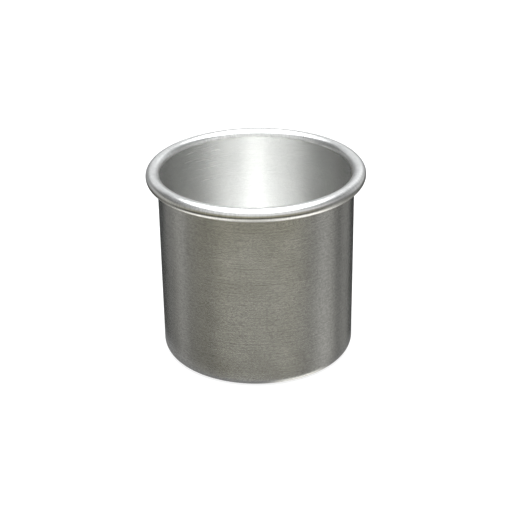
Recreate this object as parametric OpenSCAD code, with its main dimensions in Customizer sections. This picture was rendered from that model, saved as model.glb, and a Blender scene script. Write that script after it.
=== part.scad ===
// Straight-sided aluminium melting pot with a wired, rolled rim.
// Millimetres. +Z is up, the origin is the centre of the base's underside.

/* [Body] */
// Outside diameter of the straight wall
wall_d = 100; // [60:1:160]
// Height from the underside of the base to the top of the rim
pot_h = 100; // [40:1:200]
// Thickness of the sheet, the same in base, wall and rim
sheet_t = 1.2; // [0.8:0.1:1.5]
// Outside radius of the corner between base and wall
corner_r = 4; // [2:0.5:10]

/* [Rim] */
// Outside diameter of the rolled bead's section
bead_d = 7; // [5:0.5:10]
// How far the sheet is rolled round, from the wall over the top and under
curl_angle = 302; // [270:1:305]

/* [Rim wire] */
// Play between the wire and the sheet rolled round it
wire_play = 0.05; // [0.02:0.01:0.1]
// Gap where the wire hoop's two ends meet
wire_gap = 0.6; // [0.2:0.1:2]

/* [Hidden] */
$fn = 128;
wall_r = wall_d / 2;
bead_r = bead_d / 2;
bead_bore_r = bead_r - sheet_t;
// The bead's inner side lies flush with the inside of the wall.
bead_centre_r = wall_r - sheet_t + bead_r;
bead_centre_z = pot_h - bead_r;
wire_r = bead_bore_r - wire_play;

// Flat base, from the axis out to where the corner starts.
module base_section() {
    square([wall_r - corner_r, sheet_t]);
}

// Quarter bend that turns the base up into the wall.
module corner_section() {
    translate([wall_r - corner_r, corner_r])
        difference() {
            intersection() {
                circle(corner_r);
                translate([0, -corner_r]) square(corner_r);
            }
            circle(corner_r - sheet_t);
        }
}

// Straight wall, up to the height of the bead's centre.
module wall_section() {
    translate([wall_r - sheet_t, corner_r])
        square([sheet_t, bead_centre_z - corner_r]);
}

// The lip rolled outward round the wire. It leaves the wall at 180 degrees,
// goes over the top and under, and its cut edge stops just short of the wall.
module curl_section() {
    reach = 2 * bead_r;
    open_angle = 180 - curl_angle;
    translate([bead_centre_r, bead_centre_z])
        difference() {
            circle(bead_r);
            circle(bead_bore_r);
            polygon([
                [0, 0],
                [-reach, 0],
                [-reach, -2 * reach],
                [reach * cos(open_angle), reach * sin(open_angle)]
            ]);
        }
}

// One sheet of aluminium: base, corner, wall and rolled lip.
module pot_shell() {
    color([0.78, 0.78, 0.76])
        rotate_extrude()
            union() {
                base_section();
                corner_section();
                wall_section();
                curl_section();
            }
}

// Round steel wire, bent to a hoop, that the lip is rolled round.
module rim_wire() {
    color([0.55, 0.55, 0.56])
        difference() {
            rotate_extrude()
                translate([bead_centre_r, bead_centre_z]) circle(wire_r);
            translate([-wire_gap / 2, bead_centre_r - 2 * bead_r, bead_centre_z - bead_r])
                cube([wire_gap, 4 * bead_r, bead_d]);
        }
}

pot_shell();
rim_wire();
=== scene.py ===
"""The looks of a candle melting pot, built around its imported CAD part.

Metres, +Z up, the pot stands on z = 0 and the camera looks along +Y.
"""

import math

import bpy
import numpy as np
from mathutils import Matrix, Vector, noise


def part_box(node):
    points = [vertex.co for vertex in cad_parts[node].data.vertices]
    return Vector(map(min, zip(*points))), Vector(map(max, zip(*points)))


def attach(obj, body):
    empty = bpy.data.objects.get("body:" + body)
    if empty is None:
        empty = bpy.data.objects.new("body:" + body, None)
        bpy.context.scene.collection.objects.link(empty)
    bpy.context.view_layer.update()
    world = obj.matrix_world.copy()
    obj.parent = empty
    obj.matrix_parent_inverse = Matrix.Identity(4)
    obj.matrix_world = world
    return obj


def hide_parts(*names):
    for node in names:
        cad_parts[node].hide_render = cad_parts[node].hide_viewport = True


MM = 0.001

# ---- sheet detail that the frame doesn't state, as in the CAD ----
WIRE_PLAY = 0.05 * MM
CORNER_R = 4.0 * MM
CURL_ANGLE = math.radians(302)
EDGE_ROUND = 0.2 * MM

# ---- how far the spun sheet wanders inward from true, at most ----
WALL_WANDER = 0.09 * MM
RIM_WANDER = 0.04 * MM
# how high up it has grown from nothing at the base, and where it starts and ends easing to the rim's
WANDER_GROWN = 12 * MM
WANDER_EASES = 75 * MM
WANDER_EASED = 90 * MM
# its noise cells: how many per radian round the axis, and how high each is
WANDER_TURN = 2.2
WANDER_CELL = 30 * MM

# ---- how often light may bounce, enough for its way round the inside ----
MOST_BOUNCES = 16
MOST_GLOSSY_BOUNCES = 10

# ---- mesh: steps round the axis, then along each stretch of the section ----
SEGMENTS = 384
BEAD_STEPS = 64
BORE_STEPS = 36
CORNER_STEPS = 14
WALL_STEPS = 36
BASE_STEPS = 16
EDGE_STEPS = 4

# ---- camera ----
CAMERA_ELEVATION = math.radians(26.57)
CAMERA_ROLL = math.radians(-0.874)
CAMERA_DISTANCE = 0.6758
CAMERA_AIM = Vector((-0.00054, 0, 0.04884))
CAMERA_LENS = 90.86

# ---- floor ----
FLOOR_HALF = 3.0
FLOOR_GLOW = 0.8
FLOOR_GREY = 0.25

# the floor's contact shadow, as the pot's own reflections see it
SHADOW_MIDDLE = (-0.002, 0, 0)
SHADOW_INNER = 0.051
SHADOW_OUTER = 0.061
SHADOW_LIGHT = 0.2
# the bright break in it: which way it lies from the axis, its half width and fade, and the shade left
GAP_TURN = math.radians(30)
GAP_HALF = math.radians(8)
GAP_FADE = math.radians(24)
GAP_SHADE = 0.25

# ---- studio lights ----
# the middle, half size and fade of each in degrees, first up from the horizon, then round from the
# camera and positive to its right; then the strength and the tint
NEUTRAL = (1.0, 1.0, 1.0)
COOL = (0.98, 1.0, 1.01)
CREAM = (1.01, 1.0, 0.935)
WARM = (1.03, 0.97, 0.66)
LIGHTS = {
    "overhead": (90, 24, 20, 0, 180, 1, 5.4, COOL),
    "overhead_front": (66, 8, 10, 5, 35, 35, 1.5, COOL),
    "table": (-90, 32, 15, 0, 180, 1, 0.7, CREAM),
    "table_sides": (-68, 5, 15, 180, 125, 30, 0.4, CREAM),
    "room": (30, 6, 14, -8, 92, 28, 0.22, COOL),
    "front_high": (36, 8, 14, 0, 30, 50, 0.35, NEUTRAL),
    "front_window": (12, 5, 12, 10, 45, 60, 0.75, NEUTRAL),
    "front_table": (-15, 0, 12, -2, 33, 52, 0.55, WARM),
    "left_strip": (-10, 12, 8, -98, 6, 45, 0.28, CREAM),
    "left_thin": (-14, 14, 10, -100, 4, 10, 0.10, CREAM),
    "left_wide": (-15, 4, 12, -74, 6, 14, 0.08, WARM),
    "left_back": (-2, 8, 12, -150, 25, 22, 0.28, COOL),
    "right_wide": (-15, 4, 12, 54, 6, 18, 0.08, CREAM),
    "right_strip": (-34, 18, 16, 91, 4, 24, 0.25, CREAM),
    "right_thin": (-13, 17, 20, 128, 9, 8, 0.14, CREAM),
    "right_high": (38, 6, 14, 135, 15, 25, 0.35, COOL),
    "back_wall": (26, 5, 12, 186, 28, 35, 0.8, COOL),
    "back_right": (8, 10, 12, 135, 22, 20, 0.4, COOL),
    "back_table": (-58, 9, 25, 165, 60, 60, 0.35, CREAM),
}


def measure():
    """The sheet's sizes, worked out from the boxes of the CAD nodes."""
    shell_low, shell_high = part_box("pot_shell")
    wire_low, wire_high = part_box("rim_wire")
    wire_r = (wire_high.z - wire_low.z) / 2
    bead_centre_r = wire_high.x - wire_r
    bead_r = shell_high.x - bead_centre_r
    sheet = bead_r - wire_r - WIRE_PLAY
    return {
        "height": shell_high.z,
        "bead_r": bead_r,
        "bead_centre_r": bead_centre_r,
        "bead_centre_z": shell_high.z - bead_r,
        "sheet": sheet,
        "wall_r": bead_centre_r - bead_r + sheet,
        "wire_r": wire_r,
    }


# ---------------------------------------------------------------- mesh

# the sheet's finishes, as numbered in FINISHES
OUTSIDE, RIM, INSIDE, BOTTOM = range(4)


def arc(centre, radius, start, end, steps):
    """Points on a circle of the section, without the first one."""
    angles = np.linspace(start, end, steps + 1)[1:]
    return [(centre[0] + radius * math.cos(a), centre[1] + radius * math.sin(a)) for a in angles]


def line(start, end, steps):
    """Points on a straight stretch of the section, without the first one."""
    shares = np.linspace(0, 1, steps + 1)[1:]
    return [(start[0] + s * (end[0] - start[0]), start[1] + s * (end[1] - start[1])) for s in shares]


def shell_section(size):
    """The sheet's closed section as stretches of (r, z), each with the finish it carries.

    It runs from the axis under the base round to the axis inside.
    """
    wall_r, sheet, bead_r = size["wall_r"], size["sheet"], size["bead_r"]
    centre = (size["bead_centre_r"], size["bead_centre_z"])
    corner = (wall_r - CORNER_R, CORNER_R)
    inner_r = wall_r - sheet
    open_angle = math.pi - CURL_ANGLE
    lip_angle = open_angle + EDGE_ROUND / bead_r
    rim_bore = arc(centre, bead_r - sheet, math.pi, lip_angle, BORE_STEPS)
    rim_face = arc(centre, bead_r, lip_angle, math.pi, BEAD_STEPS)
    return [
        (OUTSIDE, [(0, 0)]),
        (OUTSIDE, line((0, 0), (corner[0], 0), BASE_STEPS)),
        (OUTSIDE, arc(corner, CORNER_R, -math.pi / 2, 0, CORNER_STEPS)),
        (OUTSIDE, line((wall_r, CORNER_R), (wall_r, centre[1]), WALL_STEPS)),
        (RIM, rim_bore + cut_edge(centre, bead_r, sheet, open_angle) + rim_face),
        (INSIDE, line((inner_r, centre[1]), (inner_r, CORNER_R), WALL_STEPS)),
        (BOTTOM, arc(corner, CORNER_R - sheet, 0, -math.pi / 2, CORNER_STEPS)),
        (BOTTOM, line((corner[0], sheet), (0, sheet), BASE_STEPS)),
    ]


def cut_edge(centre, bead_r, sheet, angle):
    """The curl's cut edge, with its two corners rounded off, from the bore's side to the bead's face."""
    along = Vector((math.cos(angle), math.sin(angle)))
    ahead = Vector((math.sin(angle), -math.cos(angle)))
    middle = Vector(centre)
    points = []
    for radius, turn in ((bead_r - sheet + EDGE_ROUND, 1), (bead_r - EDGE_ROUND, -1)):
        hub = middle + along * radius - ahead * EDGE_ROUND
        for step in range(EDGE_STEPS + 1):
            swing = math.pi / 2 * step / EDGE_STEPS
            a, b = (math.cos(swing), math.sin(swing)) if turn > 0 else (math.sin(swing), math.cos(swing))
            points.append(tuple(hub - along * turn * a * EDGE_ROUND + ahead * b * EDGE_ROUND))
    return points


def wandered(points, size):
    """Points moved inward by the spun sheet's slow unevenness, least at the base and the rim."""
    moved = []
    for x, y, z in points:
        r = math.hypot(x, y)
        rise = min(z / WANDER_GROWN, 1)
        near_rim = min(max((z - WANDER_EASES) / (WANDER_EASED - WANDER_EASES), 0), 1)
        most = (WALL_WANDER + (RIM_WANDER - WALL_WANDER) * near_rim) * rise
        if r < size["wall_r"] / 2 or most == 0:
            moved.append((x, y, z))
            continue
        up = min(z, WANDER_EASED) / WANDER_CELL
        place = Vector((WANDER_TURN * x / r, WANDER_TURN * y / r, up))
        inward = most * (0.5 + 0.5 * noise.noise(place))
        keep = 1 - min(max(inward, 0), most) / r
        moved.append((x * keep, y * keep, z))
    return moved


def lathe(name, stretches, segments, size):
    """A closed solid of revolution whose section starts and ends on the axis.

    It is in quads but for the triangles at its two centres.
    """
    section = np.array([point for _, points in stretches for point in points])
    finishes = [finish for finish, points in stretches for _ in points]
    turned = section[1:-1]
    angles = np.arange(segments) * 2 * math.pi / segments
    r, z = turned[:, 0][:, None], turned[:, 1][:, None]
    rings = np.stack([r * np.cos(angles), r * np.sin(angles), z + 0 * angles], -1)
    verts = wandered(rings.reshape(-1, 3).tolist(), size)
    verts += [(0, 0, section[0, 1]), (0, 0, section[-1, 1])]
    rows = len(turned)
    first, last = rows * segments, rows * segments + 1
    faces = []
    slots = []
    for j in range(segments):
        k = (j + 1) % segments
        faces.append((first, k, j))
        slots.append(finishes[1])
        for i in range(rows - 1):
            a, b = i * segments, (i + 1) * segments
            faces.append((a + j, a + k, b + k, b + j))
            slots.append(finishes[i + 2])
        end = (rows - 1) * segments
        faces.append((end + j, end + k, last))
        slots.append(finishes[-1])
    mesh = bpy.data.meshes.new(name)
    mesh.from_pydata(verts, [], faces)
    mesh.polygons.foreach_set("material_index", slots)
    run = np.concatenate([[0], np.cumsum(np.linalg.norm(np.diff(section, axis=0), axis=1))])
    values = np.concatenate([np.repeat(run[1:-1], segments), [0, run[-1]]])
    mesh.attributes.new("sheet_run", "FLOAT", "POINT").data.foreach_set("value", values)
    mesh.shade_smooth()
    piece = bpy.data.objects.new(name, mesh)
    bpy.context.scene.collection.objects.link(piece)
    return piece


# ---------------------------------------------------------------- materials

ALUMINIUM = (0.9, 0.9, 0.89)
MOST_LIGHTNESS = 1.1
# a quarter turn, so that highlights stretch along the axis, across the brushing
HIGHLIGHT_TURN = 0.25

# the lines of the brushing: their pitch, and the length and height of the dashes they break into
LINES = [
    (0.42 * MM, 5 * MM, 0.8 * MM),
    (0.55 * MM, 8 * MM, 1.0 * MM),
    (0.80 * MM, 16 * MM, 1.6 * MM),
]
# the wall's radius, near enough for the length of a dash
DASH_R = 50 * MM
# what else marks it: the noise cells of each mark, so many per radian round the axis and each so high;
# then what the mark does, as a height in millimetres and as changes of tone and of roughness
LINE_HEIGHT = 0.005
LINE_TONE = 0.28
LINE_ROUGH = 0.03
GRAIN_CELLS = (40, 0.6 * MM)
GRAIN_HEIGHT = 0.002
GRAIN_TONE = 0.44
CLOUD_CELLS = (4, 14 * MM)
CLOUD_TONE = 0.10
CLOUD_ROUGH = 0.05
WORN_CELLS = (2.5, 12 * MM)
SCRATCH_CELLS = (2.5, 7 * MM)
SCRATCH_HEIGHT = -0.004
SCRATCH_WIDTH = 0.010

# the same for the rolled rim, with its creases across it and its faint lines along it
CREASE_CELLS = (85, 3 * MM)
CREASED_CELLS = (2.5, 9 * MM)
CREASE_HEIGHT = 0.007
# the creases' tone is painted shade in their hollows and a painted highlight on their crests, beside their
# real height
CREASE_PAINTED_SHADING = 0.60
CREASE_ROUGH = 0.06
ALONG_CELLS = (6, 0.45 * MM)
ALONG_HEIGHT = 0.006
ALONG_TONE = 0.30
RIM_CLOUD_CELLS = (9, 4 * MM)
RIM_CLOUD_HEIGHT = 0.004
RIM_CLOUD_TONE = 0.04
RIM_CLOUD_ROUGH = 0.06

# painted shade for the pot's hollow: how much darker the inside is than the outside, as a change of tone
INSIDE_PAINTED_SHADE = -0.05

# the scuffed patch inside: its middle and reach, its streaks' cells, and how much paler and rougher they are
SCUFF_MIDDLE = (-0.029, 0.039, 0.085)
SCUFF_REACH = 0.020
SCUFF_CELLS = (1.5, 0.9 * MM)
SCUFF_TONE = 0.12
SCUFF_ROUGH = 0.10

# the rim wire: its dull patches' size, its dull and clean colours, and the depth of its unevenness
WIRE_PATCH = 3 * MM
WIRE_DULL = (0.30, 0.29, 0.28)
WIRE_CLEAN = (0.55, 0.55, 0.56)
WIRE_DEPTH = 0.01 * MM


class Nodes:
    """Short calls for building one node tree. The values they take are numbers, tuples or sockets."""

    def __init__(self, tree):
        self.tree = tree
        tree.nodes.clear()

    def add(self, kind, inputs=None, **settings):
        """A new node with those settings and with its inputs set or linked."""
        node = self.tree.nodes.new(kind)
        for key, value in settings.items():
            setattr(node, key, value)
        for key, value in (inputs or {}).items():
            self.put(node.inputs[key], value)
        return node

    def put(self, socket, value):
        if isinstance(value, bpy.types.NodeSocket):
            self.tree.links.new(value, socket)
        else:
            socket.default_value = value

    def math(self, operation, *values):
        node = self.add("ShaderNodeMath", operation=operation)
        for socket, value in zip(node.inputs, values):
            self.put(socket, value)
        return node.outputs[0]

    def remap(self, value, low, high, to_low, to_high, smooth=False):
        kind = "SMOOTHSTEP" if smooth else "LINEAR"
        node = self.add("ShaderNodeMapRange", interpolation_type=kind)
        for socket, entry in zip(node.inputs, (value, low, high, to_low, to_high)):
            self.put(socket, entry)
        return node.outputs["Result"]

    def noise(self, vector, scale=1.0, detail=2.0, roughness=0.5):
        inputs = {"Vector": vector, "Scale": scale, "Detail": detail, "Roughness": roughness}
        return self.add("ShaderNodeTexNoise", inputs).outputs["Fac"]

    def ramp(self, value, stops):
        """The colour at that value between stops of (value, colour)."""
        node = self.add("ShaderNodeValToRGB", {"Fac": value})
        band = node.color_ramp
        while len(band.elements) < len(stops):
            band.elements.new(1.0)
        for element, (place, colour) in zip(band.elements, stops):
            element.position = place
            element.color = (*colour, 1)
        return node.outputs["Color"]


def turned_place(nodes):
    """A maker of noise places: so many cells per radian round the axis, each so high along the sheet."""
    place = nodes.add("ShaderNodeTexCoord").outputs["Object"]
    parts = nodes.add("ShaderNodeSeparateXYZ", {"Vector": place}).outputs
    flat = nodes.add("ShaderNodeCombineXYZ", {"X": parts["X"], "Y": parts["Y"]}).outputs[0]
    unit = nodes.add("ShaderNodeVectorMath", {0: flat}, operation="NORMALIZE").outputs[0]
    unit_parts = nodes.add("ShaderNodeSeparateXYZ", {"Vector": unit}).outputs
    run = nodes.add("ShaderNodeAttribute", attribute_name="sheet_run").outputs["Fac"]

    def cells(per_radian, height):
        x = nodes.math("MULTIPLY", unit_parts["X"], per_radian)
        y = nodes.math("MULTIPLY", unit_parts["Y"], per_radian)
        z = nodes.math("MULTIPLY", run, 1 / height)
        return nodes.add("ShaderNodeCombineXYZ", {"X": x, "Y": y, "Z": z}).outputs[0]

    return cells


def signed(nodes, value, share):
    """A noise value centred on nought and scaled."""
    return nodes.math("MULTIPLY", nodes.math("SUBTRACT", value, 0.5), share)


def total(nodes, *values):
    """The sum of several sockets or numbers."""
    result = values[0]
    for value in values[1:]:
        result = nodes.math("ADD", result, value)
    return result


def scratches(nodes, where, place):
    """Thin broken lines, 1 on a scratch and 0 off it: a noise's level lines, kept by the mask where."""
    level = nodes.math("ABSOLUTE", nodes.math("SUBTRACT", nodes.noise(place, 1, 1), 0.5))
    mark = nodes.remap(level, 0, SCRATCH_WIDTH, 1, 0)
    return nodes.math("MULTIPLY", mark, where)


def ruled(nodes, cells, pitch, length, height):
    """Straight lines round the axis at about that pitch, broken into dashes about so long and so high."""
    run = nodes.add("ShaderNodeAttribute", attribute_name="sheet_run").outputs["Fac"]
    inputs = {"W": run, "Scale": 1 / pitch, "Detail": 1.0}
    ring = nodes.add("ShaderNodeTexNoise", inputs, noise_dimensions="1D").outputs["Fac"]
    dash = nodes.noise(cells(DASH_R / length, height), 1, 2)
    kept = nodes.remap(dash, 0.4, 0.62, 0, 1, smooth=True)
    return nodes.math("MULTIPLY", nodes.math("SUBTRACT", ring, 0.5), kept)


def brushing(nodes, strength):
    """Height, tone and roughness changes of sheet brushed as it turned.

    They come from fine lines, grain, clouds and scratches.
    """
    cells = turned_place(nodes)
    lines = total(nodes, *[ruled(nodes, cells, *entry) for entry in LINES])
    grain = nodes.noise(cells(*GRAIN_CELLS), 1, 0)
    cloud = nodes.noise(cells(*CLOUD_CELLS), 1, 4, 0.55)
    patch = nodes.noise(cells(*WORN_CELLS), 1, 2)
    worn = nodes.remap(patch, 0.5, 0.62, 0, 1, smooth=True)
    scratch = scratches(nodes, worn, cells(*SCRATCH_CELLS))
    grooves = nodes.math("MULTIPLY_ADD", lines, LINE_HEIGHT, signed(nodes, grain, GRAIN_HEIGHT))
    height = nodes.math("MULTIPLY_ADD", scratch, SCRATCH_HEIGHT, grooves)
    height = nodes.math("MULTIPLY", height, strength)
    line_tone = nodes.math("MULTIPLY", lines, LINE_TONE)
    tone = total(nodes, line_tone, signed(nodes, grain, GRAIN_TONE), signed(nodes, cloud, CLOUD_TONE))
    rough = nodes.math("MULTIPLY_ADD", lines, LINE_ROUGH, signed(nodes, cloud, CLOUD_ROUGH))
    return height, nodes.math("MULTIPLY", tone, strength), rough


def inside_marks(nodes, strength):
    """The inside's brushing, darkened all over as painted shade, with a patch of pale scuffs high on its
    left from stirring and pouring.
    """
    height, tone, rough = brushing(nodes, strength)
    place = nodes.add("ShaderNodeTexCoord").outputs["Object"]
    inputs = {0: place, 1: SCUFF_MIDDLE}
    off = nodes.add("ShaderNodeVectorMath", inputs, operation="DISTANCE").outputs["Value"]
    where = nodes.remap(off, SCUFF_REACH, SCUFF_REACH / 3, 0, 1, smooth=True)
    cells = turned_place(nodes)
    streak = nodes.noise(cells(*SCUFF_CELLS), 1, 1)
    streak = nodes.remap(streak, 0.5, 0.75, 0, 1, smooth=True)
    scuff = nodes.math("MULTIPLY", streak, where)
    # painted shade: the inside's tone is lowered all over
    tone = total(nodes, nodes.math("MULTIPLY", scuff, SCUFF_TONE), tone, INSIDE_PAINTED_SHADE)
    return height, tone, nodes.math("MULTIPLY_ADD", scuff, SCUFF_ROUGH, rough)


def rim_marks(nodes, strength):
    """Height, tone and roughness changes of the rolled rim.

    They come from creases across it, whose tone is painted shade and highlight, faint lines along it and
    clouds.
    """
    cells = turned_place(nodes)
    crease = nodes.noise(cells(*CREASE_CELLS), 1, 1, 0.5)
    patch = nodes.noise(cells(*CREASED_CELLS), 1, 2)
    where = nodes.remap(patch, 0.42, 0.6, 0.4, 1, smooth=True)
    along = nodes.noise(cells(*ALONG_CELLS), 1, 2, 0.6)
    cloud = nodes.noise(cells(*RIM_CLOUD_CELLS), 1, 3, 0.55)
    creased = nodes.math("MULTIPLY", nodes.math("SUBTRACT", crease, 0.5), where)
    lift = nodes.math("MULTIPLY", creased, CREASE_HEIGHT)
    uneven = signed(nodes, cloud, RIM_CLOUD_HEIGHT)
    height = total(nodes, lift, signed(nodes, along, ALONG_HEIGHT), uneven)
    height = nodes.math("MULTIPLY", height, strength)
    # painted shade and highlight: the creases' tone darkens their hollows and lightens their crests
    shade = nodes.math("MULTIPLY", creased, CREASE_PAINTED_SHADING)
    tone = total(nodes, shade, signed(nodes, along, ALONG_TONE), signed(nodes, cloud, RIM_CLOUD_TONE))
    rough = total(nodes, signed(nodes, crease, CREASE_ROUGH), signed(nodes, cloud, RIM_CLOUD_ROUGH))
    return height, nodes.math("MULTIPLY", tone, strength), rough


def aluminium(name, roughness, anisotropy, marks, strength):
    """Bare aluminium. The heights that marks gives are in millimetres."""
    material = bpy.data.materials.new(name)
    material.use_nodes = True
    nodes = Nodes(material.node_tree)
    height, tone, rough = marks(nodes, strength)
    shader = nodes.add("ShaderNodeBsdfPrincipled")
    shader.inputs["Metallic"].default_value = 1.0
    shader.inputs["Anisotropic"].default_value = anisotropy
    shader.inputs["Anisotropic Rotation"].default_value = HIGHLIGHT_TURN
    lightness = nodes.math("MINIMUM", nodes.math("ADD", tone, 1.0), MOST_LIGHTNESS)
    inputs = {0: ALUMINIUM, 1: lightness}
    colour = nodes.add("ShaderNodeVectorMath", inputs, operation="MULTIPLY").outputs[0]
    nodes.put(shader.inputs["Base Color"], colour)
    nodes.put(shader.inputs["Roughness"], nodes.math("ADD", rough, roughness))
    tangent = nodes.add("ShaderNodeTangent", direction_type="RADIAL", axis="Z")
    nodes.put(shader.inputs["Tangent"], tangent.outputs[0])
    bump = nodes.add("ShaderNodeBump", {"Height": height, "Strength": 1.0, "Distance": MM})
    nodes.put(shader.inputs["Normal"], bump.outputs[0])
    out = nodes.add("ShaderNodeOutputMaterial")
    nodes.put(out.inputs["Surface"], shader.outputs[0])
    return material


def wire_steel():
    """Drawn steel wire with dull grey patches."""
    material = bpy.data.materials.new("wire_steel")
    material.use_nodes = True
    nodes = Nodes(material.node_tree)
    place = nodes.add("ShaderNodeTexCoord").outputs["Object"]
    clean = nodes.noise(place, 1 / WIRE_PATCH, 4, 0.6)
    shader = nodes.add("ShaderNodeBsdfPrincipled")
    shader.inputs["Metallic"].default_value = 1.0
    nodes.put(shader.inputs["Base Color"], nodes.ramp(clean, [(0.35, WIRE_DULL), (0.65, WIRE_CLEAN)]))
    nodes.put(shader.inputs["Roughness"], nodes.remap(clean, 0.3, 0.7, 0.5, 0.3))
    bump = nodes.add("ShaderNodeBump", {"Height": clean, "Strength": 1.0, "Distance": WIRE_DEPTH})
    nodes.put(shader.inputs["Normal"], bump.outputs[0])
    out = nodes.add("ShaderNodeOutputMaterial")
    nodes.put(out.inputs["Surface"], shader.outputs[0])
    return material


# name, roughness, anisotropy, marks and their strength, of OUTSIDE, RIM, INSIDE and BOTTOM in turn
FINISHES = [
    ("aluminium_outside", 0.23, 1.0, brushing, 1.0),
    ("aluminium_rim", 0.30, 0.0, rim_marks, 1.0),
    ("aluminium_inside", 0.22, 1.0, inside_marks, 0.45),
    ("aluminium_bottom", 0.30, 1.0, brushing, 0.6),
]


# ---------------------------------------------------------------- studio

def floor_material():
    """White to the camera, with the pot's soft shadow.

    Other rays see only its dark contact shadow round the base.
    """
    material = bpy.data.materials.new("floor")
    material.use_nodes = True
    nodes = Nodes(material.node_tree)
    glow = nodes.add("ShaderNodeEmission", {"Color": (1, 1, 1, 1), "Strength": FLOOR_GLOW})
    matt = nodes.add("ShaderNodeBsdfDiffuse", {"Color": (FLOOR_GREY, FLOOR_GREY, FLOOR_GREY, 1)})
    pale = nodes.add("ShaderNodeAddShader", {0: glow.outputs[0], 1: matt.outputs[0]})
    place = nodes.add("ShaderNodeTexCoord").outputs["Object"]
    inputs = {0: place, 1: SHADOW_MIDDLE}
    off = nodes.add("ShaderNodeVectorMath", inputs, operation="DISTANCE").outputs["Value"]
    shade = nodes.remap(off, SHADOW_INNER, SHADOW_OUTER, 1, 0, smooth=True)
    parts = nodes.add("ShaderNodeSeparateXYZ", {"Vector": place}).outputs
    turn = nodes.math("ARCTAN2", parts["X"], nodes.math("MULTIPLY", parts["Y"], -1))
    aside = nodes.math("ABSOLUTE", nodes.math("SUBTRACT", turn, GAP_TURN))
    kept = nodes.remap(aside, GAP_HALF, GAP_HALF + GAP_FADE, GAP_SHADE, 1, smooth=True)
    shade = nodes.math("MULTIPLY", shade, kept)
    dark = nodes.add("ShaderNodeEmission", {"Color": (1, 1, 1, 1), "Strength": SHADOW_LIGHT})
    clear = nodes.add("ShaderNodeBsdfTransparent")
    contact = nodes.add("ShaderNodeMixShader", {0: shade, 1: clear.outputs[0], 2: dark.outputs[0]})
    seen = nodes.add("ShaderNodeLightPath").outputs["Is Camera Ray"]
    both = nodes.add("ShaderNodeMixShader", {0: seen, 1: contact.outputs[0], 2: pale.outputs[0]})
    out = nodes.add("ShaderNodeOutputMaterial")
    nodes.put(out.inputs["Surface"], both.outputs[0])
    return material


def add_floor():
    """A plain square floor at the pot's foot."""
    half = FLOOR_HALF
    mesh = bpy.data.meshes.new("floor")
    corners = [(-half, -half, 0), (half, -half, 0), (half, half, 0), (-half, half, 0)]
    mesh.from_pydata(corners, [], [(0, 1, 2, 3)])
    floor = bpy.data.objects.new("floor", mesh)
    bpy.context.scene.collection.objects.link(floor)
    mesh.materials.append(floor_material())


def add_world():
    """Soft studio light that depends only on direction, from the LIGHTS; the camera sees plain white."""
    world = bpy.data.worlds.new("studio")
    bpy.context.scene.world = world
    world.use_nodes = True
    nodes = Nodes(world.node_tree)
    way = nodes.add("ShaderNodeTexCoord").outputs["Generated"]
    parts = nodes.add("ShaderNodeSeparateXYZ", {"Vector": way}).outputs
    up = nodes.math("ARCSINE", parts["Z"])
    turn = nodes.math("ARCTAN2", parts["X"], nodes.math("MULTIPLY", parts["Y"], -1))
    light = (0.0, 0.0, 0.0)
    for tall, half_tall, tall_fade, wide, half_wide, wide_fade, strength, tint in LIGHTS.values():
        off = nodes.math("ABSOLUTE", nodes.math("SUBTRACT", up, math.radians(tall)))
        inside, outside = math.radians(half_tall), math.radians(half_tall + tall_fade)
        share = nodes.remap(off, outside, inside, 0, 1, smooth=True)
        if half_wide < 180:
            off = nodes.math("SUBTRACT", turn, math.radians(wide))
            off = nodes.math("ABSOLUTE", nodes.math("WRAP", off, math.pi, -math.pi))
            inside, outside = math.radians(half_wide), math.radians(half_wide + wide_fade)
            share = nodes.math("MULTIPLY", share, nodes.remap(off, outside, inside, 0, 1, smooth=True))
        colour = tuple(strength * part for part in tint)
        inputs = {0: colour, 1: share, 2: light}
        light = nodes.add("ShaderNodeVectorMath", inputs, operation="MULTIPLY_ADD").outputs[0]
    seen = nodes.add("ShaderNodeLightPath").outputs["Is Camera Ray"]
    mix = nodes.add("ShaderNodeMix", {"Factor": seen}, data_type="RGBA")
    # a Mix node's sockets share their names, so its colours go by number: A, B and the result
    nodes.put(mix.inputs[6], light)
    nodes.put(mix.inputs[7], (1, 1, 1, 1))
    glow = nodes.add("ShaderNodeBackground", {"Color": mix.outputs[2], "Strength": 1.0})
    out = nodes.add("ShaderNodeOutputWorld")
    nodes.put(out.inputs["Surface"], glow.outputs[0])


def add_camera():
    """The camera, straight in front of the pot and looking down on it."""
    camera = bpy.data.objects.new("camera", bpy.data.cameras.new("camera"))
    bpy.context.scene.collection.objects.link(camera)
    camera.data.lens = CAMERA_LENS
    camera.data.clip_start = 0.01
    away = Vector((0, -math.cos(CAMERA_ELEVATION), math.sin(CAMERA_ELEVATION)))
    tilt = Matrix.Rotation(math.pi / 2 - CAMERA_ELEVATION, 4, "X")
    roll = Matrix.Rotation(CAMERA_ROLL, 4, "Z")
    camera.matrix_world = Matrix.Translation(CAMERA_AIM + away * CAMERA_DISTANCE) @ tilt @ roll
    bpy.context.scene.camera = camera


# ---------------------------------------------------------------- the pot

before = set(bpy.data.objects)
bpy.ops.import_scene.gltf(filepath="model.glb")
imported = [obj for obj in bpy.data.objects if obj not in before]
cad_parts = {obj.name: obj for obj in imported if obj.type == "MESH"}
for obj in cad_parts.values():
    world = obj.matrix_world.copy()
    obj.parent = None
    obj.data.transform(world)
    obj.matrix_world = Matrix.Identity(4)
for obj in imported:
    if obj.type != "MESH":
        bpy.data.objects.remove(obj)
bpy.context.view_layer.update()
size = measure()
scene = bpy.context.scene
scene.view_settings.view_transform = "Standard"
scene.cycles.max_bounces = MOST_BOUNCES
scene.cycles.glossy_bounces = MOST_GLOSSY_BOUNCES

shell = lathe("pot_shell_sheet", shell_section(size), SEGMENTS, size)
for finish in FINISHES:
    shell.data.materials.append(aluminium(*finish))
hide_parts("pot_shell")
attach(shell, "root")

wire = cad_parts["rim_wire"]
wire.data.materials.clear()
wire.data.materials.append(wire_steel())

add_floor()
add_world()
add_camera()
